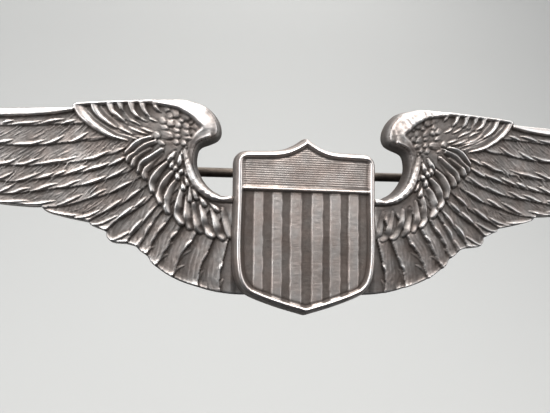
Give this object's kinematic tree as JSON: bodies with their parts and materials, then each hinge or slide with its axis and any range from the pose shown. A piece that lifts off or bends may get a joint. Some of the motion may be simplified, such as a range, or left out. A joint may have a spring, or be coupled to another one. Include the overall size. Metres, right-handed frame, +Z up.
{
  "type": "pilot wings pin",
  "caption": "Oxidised-silver wings badge with a striped shield, curved feathered wings, and a hinged pin held by a turning safety catch on the back.",
  "frame": {"origin": "on the flat back face where it bears on the cloth, behind the middle of the shield", "axes": "+X to the wearer's left along the span (the viewer's right), +Y out of the back towards the cloth, +Z up; the front faces -Y"},
  "size_m": [0.0762, 0.0073, 0.0202],
  "materials": {
    "wing_silver": "oxidised silver, polished on the high spots and dark in the crevices",
    "shield_silver": "oxidised silver with a polished rim, bar and stripes",
    "finding_silver": "satin nickel silver, dulled",
    "pin_steel": "drawn wire, browned by age",
    "catch_nickel": "turned nickel silver"
  },
  "bodies": {
    "badge": {"left_wing": "wing_silver", "right_wing": "wing_silver", "shield": "shield_silver", "hinge_pad": "finding_silver", "hinge_bracket": "finding_silver", "hinge_rivet": "pin_steel", "catch_pad": "finding_silver", "catch_keeper": "finding_silver"},
    "pin": {"pin_knuckle": "pin_steel", "pin_stem": "pin_steel"},
    "sleeve": {"catch_sleeve": "catch_nickel"}
  },
  "joints": [
    {"name": "pin_swing", "type": "hinge", "parent": "badge", "child": "pin", "pos_m": [-0.019, 0.00285, 0.00545], "axis": [0, 0, 1], "range_deg": [0, 110]},
    {"name": "catch_turn", "type": "hinge", "parent": "badge", "child": "sleeve", "pos_m": [0.019, 0.00285, 0.00545], "axis": [1, 0, 0], "range_deg": [0, 90]}
  ]
}
